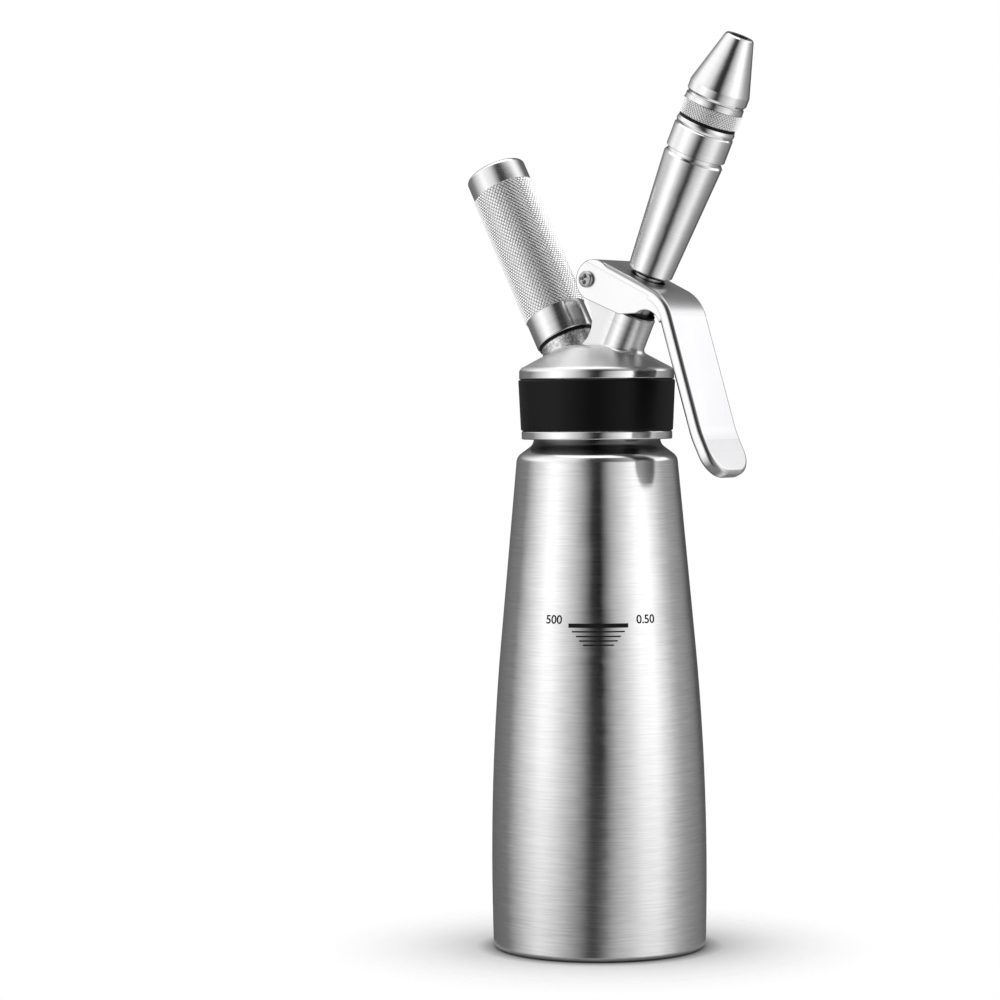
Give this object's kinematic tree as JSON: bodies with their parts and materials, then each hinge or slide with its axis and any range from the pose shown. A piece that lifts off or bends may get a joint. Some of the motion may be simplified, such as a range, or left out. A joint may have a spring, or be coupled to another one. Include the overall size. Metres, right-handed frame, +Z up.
{
  "type": "drink dispenser",
  "caption": "Hand-held gas-charged drink dispenser: steel bottle, screw-on head with squeeze lever and slanting nozzle, and a leaning holder for a small gas bulb.",
  "frame": {"origin": "middle of the foot ring's plane, on the bottle's axis", "axes": "+Z up along the bottle's axis, +X towards the lever and nozzle, -X towards the charger holder, +Y across the lever to the nut's side; the screw's head faces -Y"},
  "size_m": [0.1225, 0.078, 0.3273],
  "materials": {
    "bottle_brushed": "brushed round the bottle",
    "head_satin": "satin dome, polished flange and band",
    "silicone_black": "matte",
    "plastic_black": "matte",
    "bush_brass": "plain",
    "lever_satin": "fine satin with bright edges",
    "nozzle_satin": "turned, half polished",
    "steel_plain": "plain turned steel",
    "knurled_satin": "diamond knurl with plain turned ends",
    "bulb_steel": "zinc plated"
  },
  "bodies": {
    "bottle": {"bottle": "bottle_brushed"},
    "head": {"head": "head_satin", "grip_ring": "silicone_black", "head_gasket": "silicone_black", "gland_bush": "plastic_black", "stem_seal": "silicone_black", "pivot_bush": "bush_brass", "pivot_washers": "steel_plain", "piercing_pin": "steel_plain", "pin_seal": "silicone_black", "check_valve": "silicone_black", "holder_seal": "silicone_black", "return_spring": "steel_plain"},
    "lever": {"lever": "lever_satin", "pivot_screw": "steel_plain", "pivot_nut": "steel_plain"},
    "valve": {"valve_stem": "steel_plain", "valve_plunger": "steel_plain", "plunger_seal": "silicone_black", "nozzle_tube": "nozzle_satin", "nozzle_base_ring": "silicone_black", "nozzle_adaptor": "nozzle_satin", "tip_seal": "silicone_black"},
    "tip": {"tip_collar": "knurled_satin", "jet_tip": "nozzle_satin", "diffuser_disc": "steel_plain"},
    "holder": {"charger_holder": "knurled_satin", "gas_charger": "bulb_steel"}
  },
  "joints": [
    {"name": "head_lift", "type": "slide", "parent": "bottle", "child": "head", "axis": [0, 0, 1], "range_m": [0, 0.04]},
    {"name": "lever_squeeze", "type": "hinge", "parent": "head", "child": "lever", "pos_m": [0.00461, 0, 0.24176], "axis": [0, 1, 0], "range_deg": [0, 7.5], "stiffness_Nm_per_rad": 0.72, "springref_deg": -10.31},
    {"name": "valve_slide", "type": "slide", "parent": "head", "child": "valve", "axis": [-0.4305, 0, -0.9026], "range_m": [0, 0.00223], "deforming": ["return_spring"]},
    {"name": "tip_off", "type": "slide", "parent": "valve", "child": "tip", "axis": [0.4305, 0, 0.9026], "range_m": [0, 0.025]},
    {"name": "holder_off", "type": "slide", "parent": "head", "child": "holder", "axis": [-0.4617, 0, 0.887], "range_m": [0, 0.04]}
  ],
  "couplings": [
    {"joint": "valve_slide", "follows": "lever_squeeze", "m_per_rad": 0.017}
  ]
}
